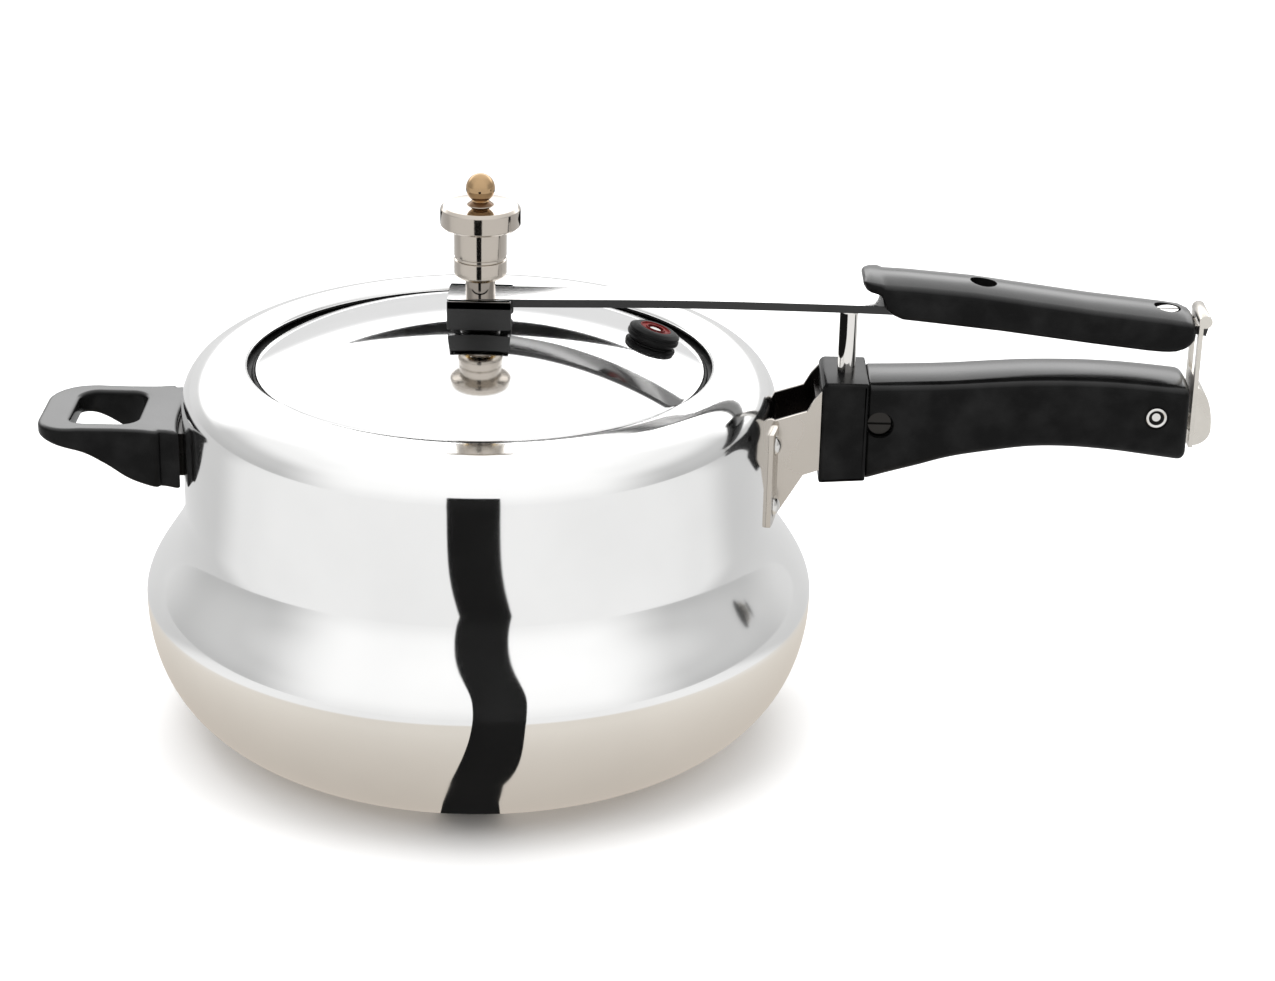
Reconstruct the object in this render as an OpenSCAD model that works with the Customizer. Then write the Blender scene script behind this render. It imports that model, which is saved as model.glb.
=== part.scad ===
// Stovetop pressure cooker with an inner lid, a lever bar across the lid and a latch loop at the handle end.
// Millimetres, +Z up. The pot stands on Z = 0 with its axis on X = Y = 0, and the long handle points along +X.

/* [Pot] */
// Outside radius at the widest line of the belly
belly_r = 120; // [118:0.5:121]
// Height of the widest line
belly_z = 50; // [46:1:54]
// Radius of the flat base
base_r = 72.5; // [68:0.5:78]
// Outside radius of the neck, where both handles are riveted on
neck_r = 105.3; // [105:0.1:105.6]
// Height where the neck begins
neck_z = 82; // [79:1:83]
// Height of the highest line of the rim
rim_z = 135.8; // [135.6:0.1:136]
// Thickness of the pot wall
wall = 3.2; // [2.8:0.1:3.4]
// Half length of the oval mouth, along the handles
mouth_r = 82; // [81.5:0.1:82.5]
// Breadth of the mouth and the lid over their length
oval = 0.95; // [0.94:0.005:0.96]

/* [Lid] */
// Height of the top of the domed lid
lid_z = 149; // [148.8:0.1:149.2]
// Radius of the sphere that the dome follows
dome_r = 206; // [200:1:212]
// Thickness of the lid plate
lid_t = 3; // [2.6:0.1:3.2]
// Height of the rubber gasket
gasket_h = 4; // [3.6:0.1:4.2]
// Angle of the safety valve around the lid, from the long handle
valve_angle = 10.8; // [9:0.2:13]
// Distance of the safety valve from the middle of the lid
valve_r = 61.5; // [60:0.5:63]

/* [Vent weight] */
// Outside radius of the lower cylinder
weight_r = 9.25; // [9:0.05:9.6]
// Outside radius of the cap
cap_r = 14; // [13.5:0.1:14.5]
// Radius of the ball knob
knob_r = 5.1; // [4.8:0.1:5.3]

/* [Lever bar and handles] */
// Thickness of the steel lever bar
bar_t = 3; // [2.8:0.1:3.2]
// Width of the lever bar
bar_w = 14.6; // [14:0.1:15]
// Distance of the fulcrum post from the pot axis
fulcrum_x = 129.5; // [129:0.1:130]
// Height of the hinge line at the tip of the post
fulcrum_z = 155.6; // [155.4:0.1:155.8]
// Radius of the post
post_r = 3.2; // [3:0.1:3.3]
// Width of both long grips
grip_w = 26; // [25:0.5:27]
// End of the long grips
grip_end_x = 250; // [249.8:0.1:250.2]

/* [Latch loop] */
// Height of the loop pivot
pivot_z = 114; // [113.5:0.1:114.5]
// Distance of the loop pivot from the pot axis
pivot_x = 246; // [245.8:0.1:246.2]
// Width of the loop
loop_w = 17; // [16.5:0.5:17.5]

/* [Side handle] */
// Reach of the side handle from the pot axis
side_reach = 156; // [154:1:158]
// Width of the side handle
side_w = 46; // [44:1:48]
// Height of the top of the side handle
side_top = 114; // [113:0.5:115]

/* [Hidden] */
$fn = 96;
run_fit = 0.06;          // radial clearance of a turning or sliding pin
bowl_power = 2.2;        // 2 would make the side of the bowl an ellipse
crown_r = 90;            // radius where the rolled shoulder reaches the rim
crown_z = 121;           // height where the shoulder leaves the neck
lip_drop = 1.2;          // fall of the rim from its highest line to the mouth
lip_under = rim_z - lip_drop - 3;
border_z = lip_under - gasket_h;
border_r = mouth_r + 6.5;
lid_wall_r = mouth_r - 2.4;
lid_sag = 0.3;           // flat parts under the dome stay this far below its inner surface
bar_z = 157;             // underside of the lever bar at the vent
bar_bow_x = 84;
bar_bow_z = bar_z + 1.3;
bar_grip_x = 145;
bar_grip_z = 157.6;
bar_end_x = 248.5;
bar_end_z = 152.35;
cheek_t = 2.4;
cheek_y = 10;            // outer face of the cheeks either side of the vent
cheek_x = 11.2;
cheek_low = 150;
trunnion_z = 154;
trunnion_r = 2.2;
collar_r = 7.2;
collar_low = 151;
collar_h = 4.8;          // its top stays clear of the plate when the lever tilts
tube_r = 4.65;
tube_low = 134;
tube_neck_r = 5.3;
neck_low = 156;
tube_bore_r = 1.3;
nozzle_r = 3.2;
nozzle_z = 164;
nozzle_top = 178;
weight_z = 166.4;        // bottom of the weight
cap_z = 184.2;
cap_top = 192.2;
knob_z = 198.4;
core_r = 6.4;
clip_r = nozzle_r + 1.2;
valve_tilt = asin(valve_r / dome_r);
valve_cap_r = 9.4;
flange_r = neck_r + 1.6; // outer face of the sheet metal riveted to the neck
bracket_y = 14.5;
bracket_t = 1.6;
bracket_low = 84;
bracket_high = 121;
rivet_r = 2.2;
rivet_gap = 0.1;         // the flat inner head clears the curved wall
rivet_angle = 10.8;
rivet_heights = [90, 113];
side_rivet_angle = 6.4;
side_rivet_z = 103;
block_x0 = 120.5;
block_x1 = 137;
block_low = 96.5;
block_top = 134.2;
block_w = 30;
post_low = 120;
tongue_t = 3;
bolt_x = 141.4;
bolt_z = 118.4;
bolt_r = 2.5;
recess_r = 4.9;
ferrule_x = 238.4;
ferrule_z = 123.6;
ferrule_r = 3.65;
lid_screw_x = [176, 241];
lid_screw_r = 2.1;
lid_screw_lift = 2;      // phenolic left between the bar and the screw heads
lid_recess_r = 4.7;
nose_r = 41.5;           // the nose's top is an arc about the loop pivot
nose_end_x = 255;
nose_w = 9;
web_x = grip_end_x + 1.3;
web_t = 1.5;
web_low = 111;
roller_r = 2.3;
roller_x = 253.4;
roller_z = 157.9;
loop_pin_r = 1.5;
lug_y = 7.4;             // outer face of the loop's lugs
lug_t = 1.5;
plate_y = 8.9;           // outer face of the loop bracket's plates
plate_t = 1.2;
side_low = 92;
side_screw_x = 113.5;
phenolic = [0.08, 0.08, 0.08];
steel = [0.70, 0.70, 0.70];
bright_metal = [0.82, 0.80, 0.77];
brass = [0.78, 0.60, 0.30];

// Outline of the pot from the base to the rim, moved inward by w and down by low
function bowl(w) = [
    for (a = [0 : 6 : 90])
        [base_r + (belly_r - w - base_r) * pow(sin(a), 2 / bowl_power),
         w + (belly_z - w) * (1 - pow(cos(a), 2 / bowl_power))]
];
function waist(w) = [
    for (t = [0.1 : 0.1 : 0.95])
        [neck_r - w + (belly_r - neck_r) * (1 + cos(180 * pow(t, 0.9))) / 2,
         belly_z + t * (neck_z - belly_z)]
];
function crown(w, low) = [
    for (a = [0 : 10 : 90])
        [crown_r + (neck_r - w - crown_r) * cos(a),
         crown_z + (rim_z - low - crown_z) * sin(a)]
];
function pot_outline(w, low) =
    concat([[0, w]], bowl(w), waist(w), [[neck_r - w, neck_z]], crown(w, low));

// Underside and top of the bar, seen from the side
function bar_line(lift) = [
    [-cheek_x, bar_z + lift],
    [bar_bow_x, bar_bow_z + lift],
    [bar_grip_x, bar_grip_z + lift],
    [bar_end_x, bar_end_z + lift]
];
function reversed(list) = [for (i = [len(list) - 1 : -1 : 0]) list[i]];
function bar_top(x) =
    bar_grip_z + bar_t + (bar_end_z - bar_grip_z) * (x - bar_grip_x) / (bar_end_x - bar_grip_x);

// A side view drawn in X and Z, thickened along Y and centred on Y = 0
module side_view(width) {
    rotate([90, 0, 0])
        linear_extrude(height = width, center = true)
            children();
}

// A round bar along Y from y0 to y1
module cross_pin(x, z, r, y0, y1) {
    translate([x, y1, z])
        rotate([90, 0, 0])
            cylinder(r = r, h = y1 - y0);
}

// A flat link with round ends of equal radius
module link(a, b, r) {
    hull()
        for (middle = [a, b])
            translate(middle)
                circle(r = r, $fn = 32);
}

module oval_cylinder(r, h) {
    scale([1, oval, 1])
        cylinder(r = r, h = h);
}

// Places a child that points along +X on the neck, at an angle around the pot
module on_neck(angle, z) {
    rotate([0, 0, angle])
        translate([neck_r, 0, z])
            rotate([0, 90, 0])
                children();
}

module neck_holes() {
    for (side = [-1, 1], z = rivet_heights)
        on_neck(side * rivet_angle, z)
            translate([0, 0, -10])
                cylinder(r = rivet_r, h = 20);
    for (side = [-1, 1])
        on_neck(180 + side * side_rivet_angle, side_rivet_z)
            translate([0, 0, -10])
                cylinder(r = rivet_r, h = 20);
}

// A rivet with a domed head outside and a low head inside, pointing outward
module rivet(grip_out) {
    translate([0, 0, -wall - rivet_gap])
        cylinder(r = rivet_r, h = wall + rivet_gap + grip_out);
    translate([0, 0, grip_out])
        intersection() {
            translate([0, 0, -2.4])
                sphere(r = 4.4);
            cylinder(r = 4, h = 3);
        }
    translate([0, 0, -wall - rivet_gap - 1])
        cylinder(r = 3.6, h = 1);
}

module pot_body() {
    color([0.85, 0.85, 0.84])
        difference() {
            rotate_extrude()
                difference() {
                    polygon(concat(
                        pot_outline(0, 0),
                        [[mouth_r - 6, rim_z - lip_drop], [0, rim_z - lip_drop]]
                    ));
                    polygon(concat(
                        pot_outline(wall, rim_z - lip_under),
                        [[0, lip_under]]
                    ));
                }
            translate([0, 0, crown_z])
                oval_cylinder(mouth_r, 30);
            neck_holes();
        }
}

module handle_bracket() {
    color([0.72, 0.69, 0.64])
        difference() {
            union() {
                // Flanges curved to the neck
                intersection() {
                    translate([0, 0, bracket_low])
                        cylinder(r = flange_r, h = bracket_high - bracket_low - 2);
                    for (side = [-1, 1])
                        translate([90, side * (bracket_y + 5.3) - 6.5, 0])
                            cube([30, 13, 200]);
                }
                // Cheeks that carry the handle
                for (side = [-1, 1])
                    translate([0, side * (bracket_y - bracket_t / 2), 0])
                        side_view(bracket_t)
                            polygon([
                                [102, bracket_low], [106.5, bracket_low + 1], [115, 99.5], [block_x0, 101.5],
                                [block_x0, 131], [118, 128], [115.5, 123.5], [102, bracket_high - 2]
                            ]);
                // Cross plate and the tongue inside the handle
                translate([block_x0 - bracket_t, -bracket_y, 101.5])
                    cube([bracket_t, 2 * bracket_y, 24]);
                handle_tongue();
            }
            translate([0, 0, 60])
                cylinder(r = neck_r, h = 80);
            cross_pin(bolt_x, bolt_z, bolt_r, -20, 20);
            neck_holes();
        }
}

module bracket_rivets() {
    color(steel)
        for (side = [-1, 1], z = rivet_heights)
            on_neck(side * rivet_angle, z)
                rivet(flange_r - neck_r);
}

module handle_block() {
    color(phenolic)
        difference() {
            side_view(block_w)
                polygon([
                    [block_x0, block_low], [block_x0, block_top - 2.5], [block_x0 + 2.5, block_top],
                    [block_x1, block_top], [block_x1, block_low + 1.5]
                ]);
            handle_tongue();
            translate([fulcrum_x, 0, post_low])
                cylinder(r = post_r, h = 40);
        }
}

module body_handle() {
    color(phenolic)
        difference() {
            union() {
                side_view(grip_w)
                    offset(delta = -2.2)
                        body_handle_outline();
                side_view(grip_w - 5)
                    body_handle_outline();
            }
            handle_tongue();
            cross_pin(bolt_x, bolt_z, bolt_r, -20, 20);
            cross_pin(bolt_x, bolt_z, recess_r, -20, -8);
            cross_pin(bolt_x, bolt_z, recess_r, 8, 20);
            cross_pin(ferrule_x, ferrule_z, 2, -20, 20);
            // Hollow end where the loop and its bracket work
            translate([233, -plate_y, 100])
                cube([30, 2 * plate_y, 28.8]);
            cross_pin(pivot_x, pivot_z, loop_pin_r, -plate_y - 1.5, plate_y + 1.5);
        }
}

module body_handle_outline() {
    polygon([
        [block_x1, 97], [146, 99.8], [155, 102.4], [167, 106], [181, 108.6], [195, 110.6],
        [209, 110.9], [224, 109.9], [238, 108.2], [grip_end_x - 1, 106.8], [grip_end_x, 108],
        [grip_end_x, 133.4], [248, 135.4], [238, 136.4], [224, 137.4], [210, 137.7], [195, 137.4],
        [181, 136.5], [167, 135.4], [152, 134.7], [block_x1, block_top]
    ]);
}

// The tongue runs from the cross plate through the block into the grip
module handle_tongue() {
    side_view(tongue_t)
        polygon([
            [block_x0 - 1, 104], [152, 107], [152, 126], [135, 124], [135, 117], [block_x0 - 1, 117]
        ]);
}

module handle_bolt() {
    color(steel) {
        cross_pin(bolt_x, bolt_z, bolt_r, -8, 10.4);
        difference() {
            cross_pin(bolt_x, bolt_z, 4.1, -10.6, -8);
            translate([bolt_x - 5, -11, bolt_z - 0.5])
                cube([10, 1.4, 1]);
        }
    }
}

module handle_bolt_nut() {
    color(steel)
        difference() {
            translate([bolt_x, 10.6, bolt_z])
                rotate([90, 0, 0])
                    cylinder(r = 4.3, h = 2.6, $fn = 6);
            cross_pin(bolt_x, bolt_z, bolt_r, 0, 20);
        }
}

module grip_screw() {
    color(steel) {
        cross_pin(ferrule_x, ferrule_z, 2, -grip_w / 2 - 0.2, grip_w / 2 + 0.2);
        for (side = [-1, 1])
            difference() {
                cross_pin(ferrule_x, ferrule_z, ferrule_r, side * (grip_w / 2 + 0.5) - 0.5,
                    side * (grip_w / 2 + 0.5) + 0.5);
                translate([0, side * (grip_w / 2 + 1.3), 0])
                    cross_pin(ferrule_x, ferrule_z, 2.4, -0.8, 0.8);
            }
    }
}

// The top of the post is a half round ridge along the hinge line
module fulcrum_post() {
    color([0.8, 0.8, 0.8])
        intersection() {
            translate([fulcrum_x, 0, post_low])
                cylinder(r = post_r, h = 60);
            union() {
                cross_pin(fulcrum_x, fulcrum_z, post_r, -10, 10);
                translate([fulcrum_x - 10, -10, post_low])
                    cube([20, 20, fulcrum_z - post_low]);
            }
        }
}

module loop_bracket() {
    color(steel)
        difference() {
            union() {
                for (side = [-1, 1])
                    translate([0, side * (plate_y - plate_t / 2), 0])
                        side_view(plate_t)
                            link([pivot_x, pivot_z], [ferrule_x, ferrule_z], 4.2);
                cross_pin(ferrule_x, ferrule_z, 3.4, -plate_y + 0.5, plate_y - 0.5);
            }
            cross_pin(ferrule_x, ferrule_z, 2, -20, 20);
            cross_pin(pivot_x, pivot_z, loop_pin_r, -20, 20);
        }
}

module loop_pin() {
    color(steel)
        cross_pin(pivot_x, pivot_z, loop_pin_r, -plate_y - 1.5, plate_y + 1.5);
}

module side_bracket() {
    color(steel)
        difference() {
            union() {
                intersection() {
                    translate([0, 0, 95])
                        cylinder(r = flange_r, h = 16);
                    translate([-120, -17, 0])
                        cube([30, 34, 200]);
                }
                translate([-121, -6, 101.4])
                    cube([17, 12, 3.2]);
            }
            translate([0, 0, 60])
                cylinder(r = neck_r, h = 80);
            neck_holes();
            translate([-side_screw_x, 0, 80])
                cylinder(r = 2, h = 30);
        }
}

module side_rivets() {
    color(steel)
        for (side = [-1, 1])
            on_neck(180 + side * side_rivet_angle, side_rivet_z)
                rivet(flange_r - neck_r);
}

// The side handle from above: round nose, and a wider flange against the pot
module side_handle_plan(r, reach, half) {
    hull() {
        for (side = [-1, 1])
            translate([r - reach, side * (half - r)])
                circle(r = r, $fn = 40);
        translate([-104, -half - 1.5])
            square([8, 2 * half + 3]);
    }
    difference() {
        translate([-110, -half - 5])
            square([14, 2 * half + 10]);
        circle(r = flange_r - 3);
    }
}

module side_handle() {
    color(phenolic)
        difference() {
            intersection() {
                linear_extrude(height = 200)
                    side_handle_plan(17, side_reach, side_w / 2);
                side_view(100)
                    polygon([
                        [-side_reach, 108], [-side_reach, 111], [-150, side_top - 0.4], [-140, side_top],
                        [-98, side_top], [-98, side_low], [-117, 92.6], [-122, 94.6], [-131, 101.4],
                        [-139, 105], [-150, 107.2]
                    ]);
            }
            // Finger hole
            translate([0, 0, 80])
                linear_extrude(height = 60)
                    hull()
                        for (x = [-136, -129], y = [-7, 7])
                            translate([x, y])
                                circle(r = 8.5, $fn = 40);
            translate([0, 0, 60])
                cylinder(r = flange_r, h = 80);
            translate([-121, -6, 101.4])
                cube([20, 12, 3.2]);
            for (side = [-1, 1])
                on_neck(180 + side * side_rivet_angle, side_rivet_z)
                    cylinder(r = 4.4, h = 4.2);
            translate([-side_screw_x, 0, 80])
                cylinder(r = 2, h = 28);
            translate([-side_screw_x, 0, 80])
                cylinder(r = 4, h = 16);
        }
}

module side_handle_screw() {
    color(steel)
        translate([-side_screw_x, 0, 0]) {
            translate([0, 0, 96])
                cylinder(r = 2, h = 12);
            difference() {
                translate([0, 0, 93.4])
                    cylinder(r = 3.7, h = 2.6);
                translate([-0.5, -5, 93])
                    cube([1, 10, 1.4]);
            }
        }
}

module lid_bar() {
    color([0.62, 0.61, 0.60])
        difference() {
            union() {
                side_view(bar_w)
                    polygon(concat(bar_line(0), reversed(bar_line(bar_t))));
                side_view(2 * cheek_y)
                    translate([-cheek_x, bar_z])
                        square([2 * cheek_x, bar_t]);
                for (side = [-1, 1])
                    translate([0, side * (cheek_y - cheek_t / 2), 0])
                        side_view(cheek_t)
                            polygon([
                                [-cheek_x, cheek_low + 0.8], [-cheek_x + 0.8, cheek_low],
                                [cheek_x - 0.8, cheek_low], [cheek_x, cheek_low + 0.8],
                                [cheek_x, bar_z + bar_t], [-cheek_x, bar_z + bar_t]
                            ]);
                // Nose that the loop's roller holds down
                side_view(nose_w)
                    intersection() {
                        translate([pivot_x, pivot_z])
                            difference() {
                                circle(r = nose_r);
                                circle(r = nose_r - bar_t - 0.2);
                            }
                        translate([bar_end_x - 1.5, pivot_z])
                            square([nose_end_x - bar_end_x + 1.5, 60]);
                    }
            }
            translate([0, 0, bar_z - 1])
                cylinder(r = tube_neck_r + 1.4, h = 12);
            cross_pin(0, trunnion_z, trunnion_r + run_fit, -20, 20);
            cross_pin(fulcrum_x, fulcrum_z, post_r + run_fit, -post_r - 0.4, post_r + 0.4);
            for (x = lid_screw_x)
                translate([x, 0, 140])
                    cylinder(r = lid_screw_r, h = 40);
        }
}

module lid_handle_outline() {
    polygon([
        [133.4, 168], [134.6, 171.2], [150, 170.6], [172, 168.9], [214, 163.6], [242, 160.6],
        [248.4, 159.6], [grip_end_x, 157.4], [grip_end_x, 152], [247, 148.6], [243, 147.2],
        [234, 147.2], [214, 149.7], [182, 153.7], [147, 157], [141, 161.5], [139.5, 165.8], [136, 166.6]
    ]);
}

module lid_handle() {
    color(phenolic)
        difference() {
            union() {
                side_view(grip_w - 2)
                    offset(delta = -2)
                        lid_handle_outline();
                side_view(grip_w - 7)
                    lid_handle_outline();
            }
            side_view(bar_w)
                polygon(concat(bar_line(0), reversed(bar_line(bar_t))));
            side_view(nose_w)
                translate([bar_end_x - 2, 150])
                    square([10, 6.2]);
            for (x = lid_screw_x) {
                translate([x, 0, 140])
                    cylinder(r = lid_screw_r, h = 40);
                translate([x, 0, bar_top(x) + lid_screw_lift])
                    cylinder(r = lid_recess_r, h = 40);
            }
        }
}

module lid_handle_screws() {
    color(steel)
        for (x = lid_screw_x)
            translate([x, 0, bar_top(x)]) {
                translate([0, 0, -bar_t - 1.5])
                    cylinder(r = lid_screw_r, h = bar_t + 1.5 + lid_screw_lift);
                translate([0, 0, lid_screw_lift])
                    difference() {
                        cylinder(r = 3.9, h = 2.2);
                        translate([-5, -0.5, 1.2])
                            cube([10, 1, 2]);
                    }
            }
}

// The sphere that the top of the lid follows, or its inner face when thinned
module dome(thin) {
    translate([0, 0, lid_z - dome_r])
        sphere(r = dome_r - thin, $fn = 256);
}

module lid() {
    color([0.86, 0.86, 0.86])
        difference() {
            intersection() {
                dome(0);
                translate([0, 0, border_z - lid_t])
                    union() {
                        oval_cylinder(lid_wall_r, 40);
                        oval_cylinder(border_r, lid_t);
                    }
            }
            intersection() {
                dome(lid_t);
                translate([0, 0, border_z - lid_t - 1])
                    oval_cylinder(lid_wall_r - lid_t, 60);
            }
            cylinder(r = tube_r, h = 300);
            at_valve()
                translate([0, 0, -20])
                    cylinder(r = 4, h = 40);
        }
}

module gasket() {
    color([0.05, 0.05, 0.05])
        translate([0, 0, border_z])
            difference() {
                oval_cylinder(border_r, gasket_h);
                translate([0, 0, -1])
                    oval_cylinder(lid_wall_r, gasket_h + 2);
            }
}

module vent_tube() {
    color([0.62, 0.60, 0.55])
        difference() {
            union() {
                translate([0, 0, tube_low])
                    cylinder(r = tube_r, h = neck_low - tube_low);
                translate([0, 0, neck_low])
                    cylinder(r = tube_neck_r, h = nozzle_z - neck_low);
                translate([0, 0, nozzle_z])
                    cylinder(r = nozzle_r, h = nozzle_top - nozzle_z);
            }
            translate([0, 0, 110])
                cylinder(r = tube_bore_r, h = 100);
        }
}

module vent_washer() {
    color([0.8, 0.8, 0.8])
        translate([0, 0, lid_z])
            difference() {
                cylinder(r = 7, h = collar_low - lid_z - 0.1);
                translate([0, 0, -1])
                    cylinder(r = tube_r, h = 5);
            }
}

module vent_seal() {
    color([0.1, 0.1, 0.1])
        translate([0, 0, lid_z - lid_t - lid_sag - 1.8])
            difference() {
                cylinder(r = 10, h = 1.8);
                translate([0, 0, -1])
                    cylinder(r = tube_r, h = 5);
            }
}

module vent_lock_nut() {
    color(brass)
        translate([0, 0, lid_z - lid_t - lid_sag - 7.4])
            difference() {
                cylinder(r = 9.2, h = 5.6, $fn = 6);
                translate([0, 0, -1])
                    cylinder(r = tube_r, h = 8);
            }
}

module shackle_collar() {
    color(steel)
        difference() {
            translate([0, 0, collar_low])
                cylinder(r = collar_r, h = collar_h);
            cylinder(r = tube_r, h = 200);
            cross_pin(0, trunnion_z, trunnion_r, -20, 20);
        }
}

module shackle_pins() {
    color(steel)
        for (side = [-1, 1])
            cross_pin(0, trunnion_z, trunnion_r, side * 7.6 - 2.2, side * 7.6 + 2.2);
}

// Places a child on the dome where the safety valve sits, square to the surface
module at_valve() {
    rotate([0, 0, valve_angle])
        translate([0, 0, lid_z - dome_r])
            rotate([0, valve_tilt, 0])
                translate([0, 0, dome_r])
                    children();
}

module valve_cap() {
    color([0.05, 0.05, 0.05])
        at_valve()
            difference() {
                union() {
                    translate([0, 0, 0.1])
                        cylinder(r = valve_cap_r - 1, h = 1);
                    translate([0, 0, 1])
                        cylinder(r = valve_cap_r, h = 4);
                    translate([0, 0, -lid_t - 0.1])
                        cylinder(r = 4, h = lid_t + 1);
                }
                translate([0, 0, -10])
                    cylinder(r = 2, h = 30);
                translate([0, 0, 3.8])
                    cylinder(r = 5.6, h = 4);
            }
}

module valve_ring() {
    color([0.75, 0.08, 0.08])
        at_valve()
            translate([0, 0, 3.8])
                difference() {
                    cylinder(r = 5.6, h = 1.6);
                    translate([0, 0, -1])
                        cylinder(r = 3, h = 4);
                }
}

module valve_plug() {
    color([0.75, 0.75, 0.72])
        at_valve()
            translate([0, 0, -lid_t - 4])
                cylinder(r = 2, h = lid_t + 8.4);
}

module valve_nut() {
    color(brass)
        at_valve()
            translate([0, 0, -lid_t - 3.3])
                difference() {
                    cylinder(r = 6.4, h = 3.2, $fn = 6);
                    translate([0, 0, -1])
                        cylinder(r = 2, h = 6);
                }
}

module weight_jacket() {
    color(bright_metal)
        difference() {
            translate([0, 0, weight_z])
                cylinder(r = weight_r, h = cap_z - weight_z);
            translate([0, 0, weight_z - 1])
                cylinder(r = core_r, h = 40);
            translate([0, 0, weight_z + 6.4])
                difference() {
                    cylinder(r = weight_r + 1, h = 1.3);
                    translate([0, 0, -1])
                        cylinder(r = weight_r - 0.7, h = 4);
                }
        }
}

module weight_core() {
    color(brass)
        difference() {
            translate([0, 0, weight_z + 0.6])
                cylinder(r = core_r, h = cap_z - weight_z - 0.6);
            translate([0, 0, weight_z - 1])
                cylinder(r = nozzle_r + run_fit, h = nozzle_top - weight_z + 1.05);
            translate([0, 0, weight_z])
                cylinder(r = clip_r + 0.05, h = 3.2);
            translate([0, 0, nozzle_top])
                cylinder(r = 1, h = 4);
        }
}

module weight_needle() {
    color(steel)
        translate([0, 0, nozzle_top - 5])
            cylinder(r = 1, h = 9);
}

module weight_clip() {
    color(steel)
        translate([0, 0, weight_z + 1.8])
            difference() {
                cylinder(r = clip_r, h = 1.2);
                translate([0, 0, -1])
                    cylinder(r = nozzle_r + 0.4, h = 4);
            }
}

module weight_cap() {
    color(bright_metal)
        rotate_extrude()
            polygon([
                [0, cap_z], [cap_r - 1, cap_z], [cap_r, cap_z + 1], [cap_r, cap_top - 1.6],
                [cap_r - 1.6, cap_top], [4.2, cap_top], [3.4, cap_top + 1.6], [0, cap_top + 1.6]
            ]);
}

module weight_knob() {
    color(brass)
        difference() {
            translate([0, 0, knob_z])
                sphere(r = knob_r);
            cylinder(r = 20, h = cap_top + 1.6);
        }
}

module locking_loop() {
    color([0.78, 0.76, 0.72])
        difference() {
            union() {
                translate([web_x, -loop_w / 2, web_low])
                    cube([web_t, loop_w, roller_z - web_low]);
                cross_pin(roller_x, roller_z, roller_r, -loop_w / 2, loop_w / 2);
                for (side = [-1, 1])
                    translate([0, side * (lug_y - lug_t / 2), 0])
                        side_view(lug_t)
                            link([pivot_x, pivot_z], [web_x - 2.9, pivot_z + 1], 3.4);
                side_view(12)
                    thumb_tab();
            }
            // Window that the nose passes through
            translate([web_x - 1, -nose_w / 2 - 0.9, 137])
                cube([10, nose_w + 1.8, roller_z - roller_r - 137 + 0.4]);
            cross_pin(pivot_x, pivot_z, loop_pin_r + run_fit, -20, 20);
        }
}

module thumb_tab() {
    translate([web_x + web_t, 117])
        polygon(concat(
            [for (a = [-90 : 10 : 0]) [6.4 * cos(a), 6.2 * sin(a)]],
            [for (a = [10 : 10 : 90]) [6.4 * cos(a), 15.5 * sin(a)]],
            [[-0.5, 15.5], [-0.5, -6.2]]
        ));
}

pot_body();
handle_bracket();
bracket_rivets();
handle_block();
body_handle();
handle_bolt();
handle_bolt_nut();
grip_screw();
fulcrum_post();
loop_bracket();
loop_pin();
side_bracket();
side_rivets();
side_handle();
side_handle_screw();
lid_bar();
lid_handle();
lid_handle_screws();
lid();
gasket();
vent_tube();
vent_washer();
vent_seal();
vent_lock_nut();
shackle_collar();
shackle_pins();
valve_cap();
valve_ring();
valve_plug();
valve_nut();
weight_jacket();
weight_core();
weight_needle();
weight_clip();
weight_cap();
weight_knob();
locking_loop();
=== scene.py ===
import math
import bmesh
import bpy
from mathutils import Matrix, Vector


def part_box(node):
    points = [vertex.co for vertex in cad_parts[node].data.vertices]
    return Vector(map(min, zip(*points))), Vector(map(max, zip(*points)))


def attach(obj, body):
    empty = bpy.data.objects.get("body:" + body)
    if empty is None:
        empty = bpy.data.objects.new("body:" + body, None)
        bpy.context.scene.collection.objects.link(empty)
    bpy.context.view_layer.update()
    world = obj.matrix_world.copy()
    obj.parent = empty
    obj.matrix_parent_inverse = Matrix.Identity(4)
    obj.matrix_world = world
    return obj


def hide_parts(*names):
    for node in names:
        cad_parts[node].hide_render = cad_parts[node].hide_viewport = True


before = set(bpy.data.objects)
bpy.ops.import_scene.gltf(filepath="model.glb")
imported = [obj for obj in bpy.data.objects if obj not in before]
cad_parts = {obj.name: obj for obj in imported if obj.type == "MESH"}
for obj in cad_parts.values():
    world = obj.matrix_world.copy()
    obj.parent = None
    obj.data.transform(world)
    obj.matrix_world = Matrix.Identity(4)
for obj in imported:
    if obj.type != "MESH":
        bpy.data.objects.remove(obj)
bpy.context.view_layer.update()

# Shapes below are written in millimetres and made in metres.
MM = 0.001


def high(node, axis):
    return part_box(node)[1][axis] / MM


def low(node, axis):
    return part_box(node)[0][axis] / MM


# ---------------------------------------------------------------- outlines
def arc_between(corner, a, b, radius, steps):
    """Points of the arc that rounds off one corner, given the directions to its neighbours."""
    half = a.angle(b) / 2
    reach = min(radius / math.tan(half), 0.48 * a.length, 0.48 * b.length)
    true_radius = reach * math.tan(half)
    start = corner + a.normalized() * reach
    end = corner + b.normalized() * reach
    centre = corner + (a.normalized() + b.normalized()).normalized() * (true_radius / math.sin(half))
    points = []
    for k in range(steps + 1):
        t = k / steps
        way = (start - centre).lerp(end - centre, t).normalized()
        points.append(tuple(centre + way * true_radius))
    return points


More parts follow.
